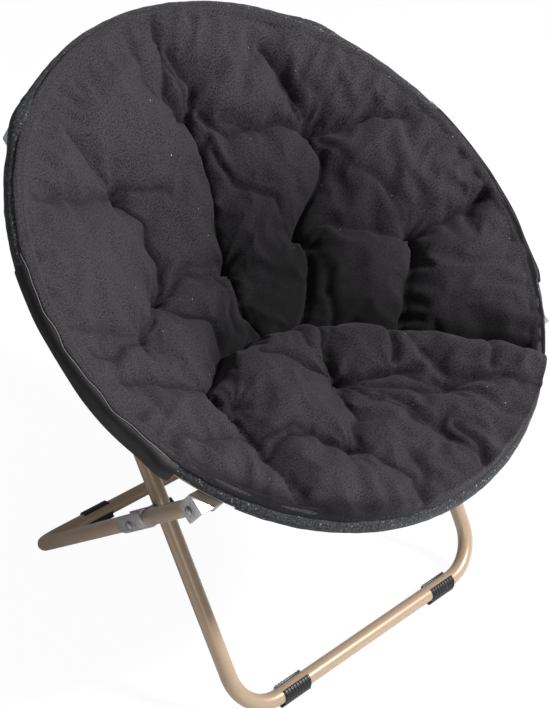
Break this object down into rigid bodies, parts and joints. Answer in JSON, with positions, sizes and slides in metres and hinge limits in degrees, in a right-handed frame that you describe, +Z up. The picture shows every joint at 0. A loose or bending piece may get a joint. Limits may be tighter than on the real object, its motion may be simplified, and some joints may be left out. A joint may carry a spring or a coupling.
{
  "type": "folding saucer chair",
  "caption": "Folding saucer chair: a black quilted bowl on a round tube ring, hinged across the middle, on two crossed beige steel U legs.",
  "frame": {"origin": "on the floor, under the middle of the chair's outline", "axes": "+X to the right seen from the front, +Y to the back, +Z up"},
  "size_m": [0.7994, 0.6452, 0.8167],
  "materials": {
    "frame_paint": "smooth satin powder coat, champagne beige",
    "galvanised": "light grey zinc plating",
    "rivet_steel": "plain rivet steel",
    "black_plastic": "black moulded plastic",
    "cover_fabric": "charcoal twill over loose fibre filling, tufted",
    "sleeve_fabric": "black binding and sleeve cloth"
  },
  "bodies": {
    "front_leg": {"front_leg_tube": "frame_paint", "scissor_bush_left": "black_plastic", "scissor_bush_right": "black_plastic", "scissor_stud_left": "rivet_steel", "scissor_stud_right": "rivet_steel", "scissor_nut_left": "rivet_steel", "scissor_nut_right": "rivet_steel", "front_foot_clip_left": "black_plastic", "front_foot_clip_right": "black_plastic"},
    "ring_back": {"ring_back_tube": "frame_paint", "back_quilt": "cover_fabric", "back_sleeve_left": "sleeve_fabric", "back_sleeve_top": "sleeve_fabric", "back_sleeve_right": "sleeve_fabric", "back_pivot_bracket_left": "galvanised", "back_pivot_bracket_right": "galvanised", "back_pivot_rivet_left": "rivet_steel", "back_pivot_rivet_right": "rivet_steel", "ring_hinge_plate_back_left": "galvanised", "ring_hinge_plate_back_right": "galvanised", "ring_hinge_rivet_left": "rivet_steel", "ring_hinge_rivet_right": "rivet_steel"},
    "ring_front": {"ring_front_tube": "frame_paint", "seat_quilt": "cover_fabric", "front_sleeve": "sleeve_fabric", "front_pivot_bracket_left": "galvanised", "front_pivot_bracket_right": "galvanised", "front_pivot_rivet_left": "rivet_steel", "front_pivot_rivet_right": "rivet_steel", "ring_hinge_plate_front_left": "galvanised", "ring_hinge_plate_front_right": "galvanised"},
    "rear_leg": {"rear_leg_lower_tube": "frame_paint", "rear_leg_upper_tube_left": "frame_paint", "rear_leg_upper_tube_right": "frame_paint", "scissor_bracket_left": "galvanised", "scissor_bracket_right": "galvanised", "scissor_rivet_left": "rivet_steel", "scissor_rivet_right": "rivet_steel", "rear_foot_clip_left": "black_plastic", "rear_foot_clip_right": "black_plastic"}
  },
  "joints": [
    {"name": "ring_hinge", "type": "hinge", "parent": "ring_back", "child": "ring_front", "pos_m": [0, -0.097, 0.48414], "axis": [-1, 0, 0], "range_deg": [0, 168], "deforming": ["back_quilt", "seat_quilt"]},
    {"name": "back_pivot", "type": "hinge", "parent": "front_leg", "child": "ring_back", "pos_m": [0, 0.25302, 0.71102], "axis": [1, 0, 0], "range_deg": [0, 23.71]},
    {"name": "front_pivot", "type": "hinge", "parent": "ring_front", "child": "rear_leg", "pos_m": [0, -0.16733, 0.40655], "axis": [1, 0, 0], "range_deg": [0, 80.27]}
  ],
  "couplings": [
    {"joint": "back_pivot", "follows": "ring_hinge", "ratio": 0.13817},
    {"joint": "front_pivot", "follows": "ring_hinge", "ratio": 0.47482}
  ]
}
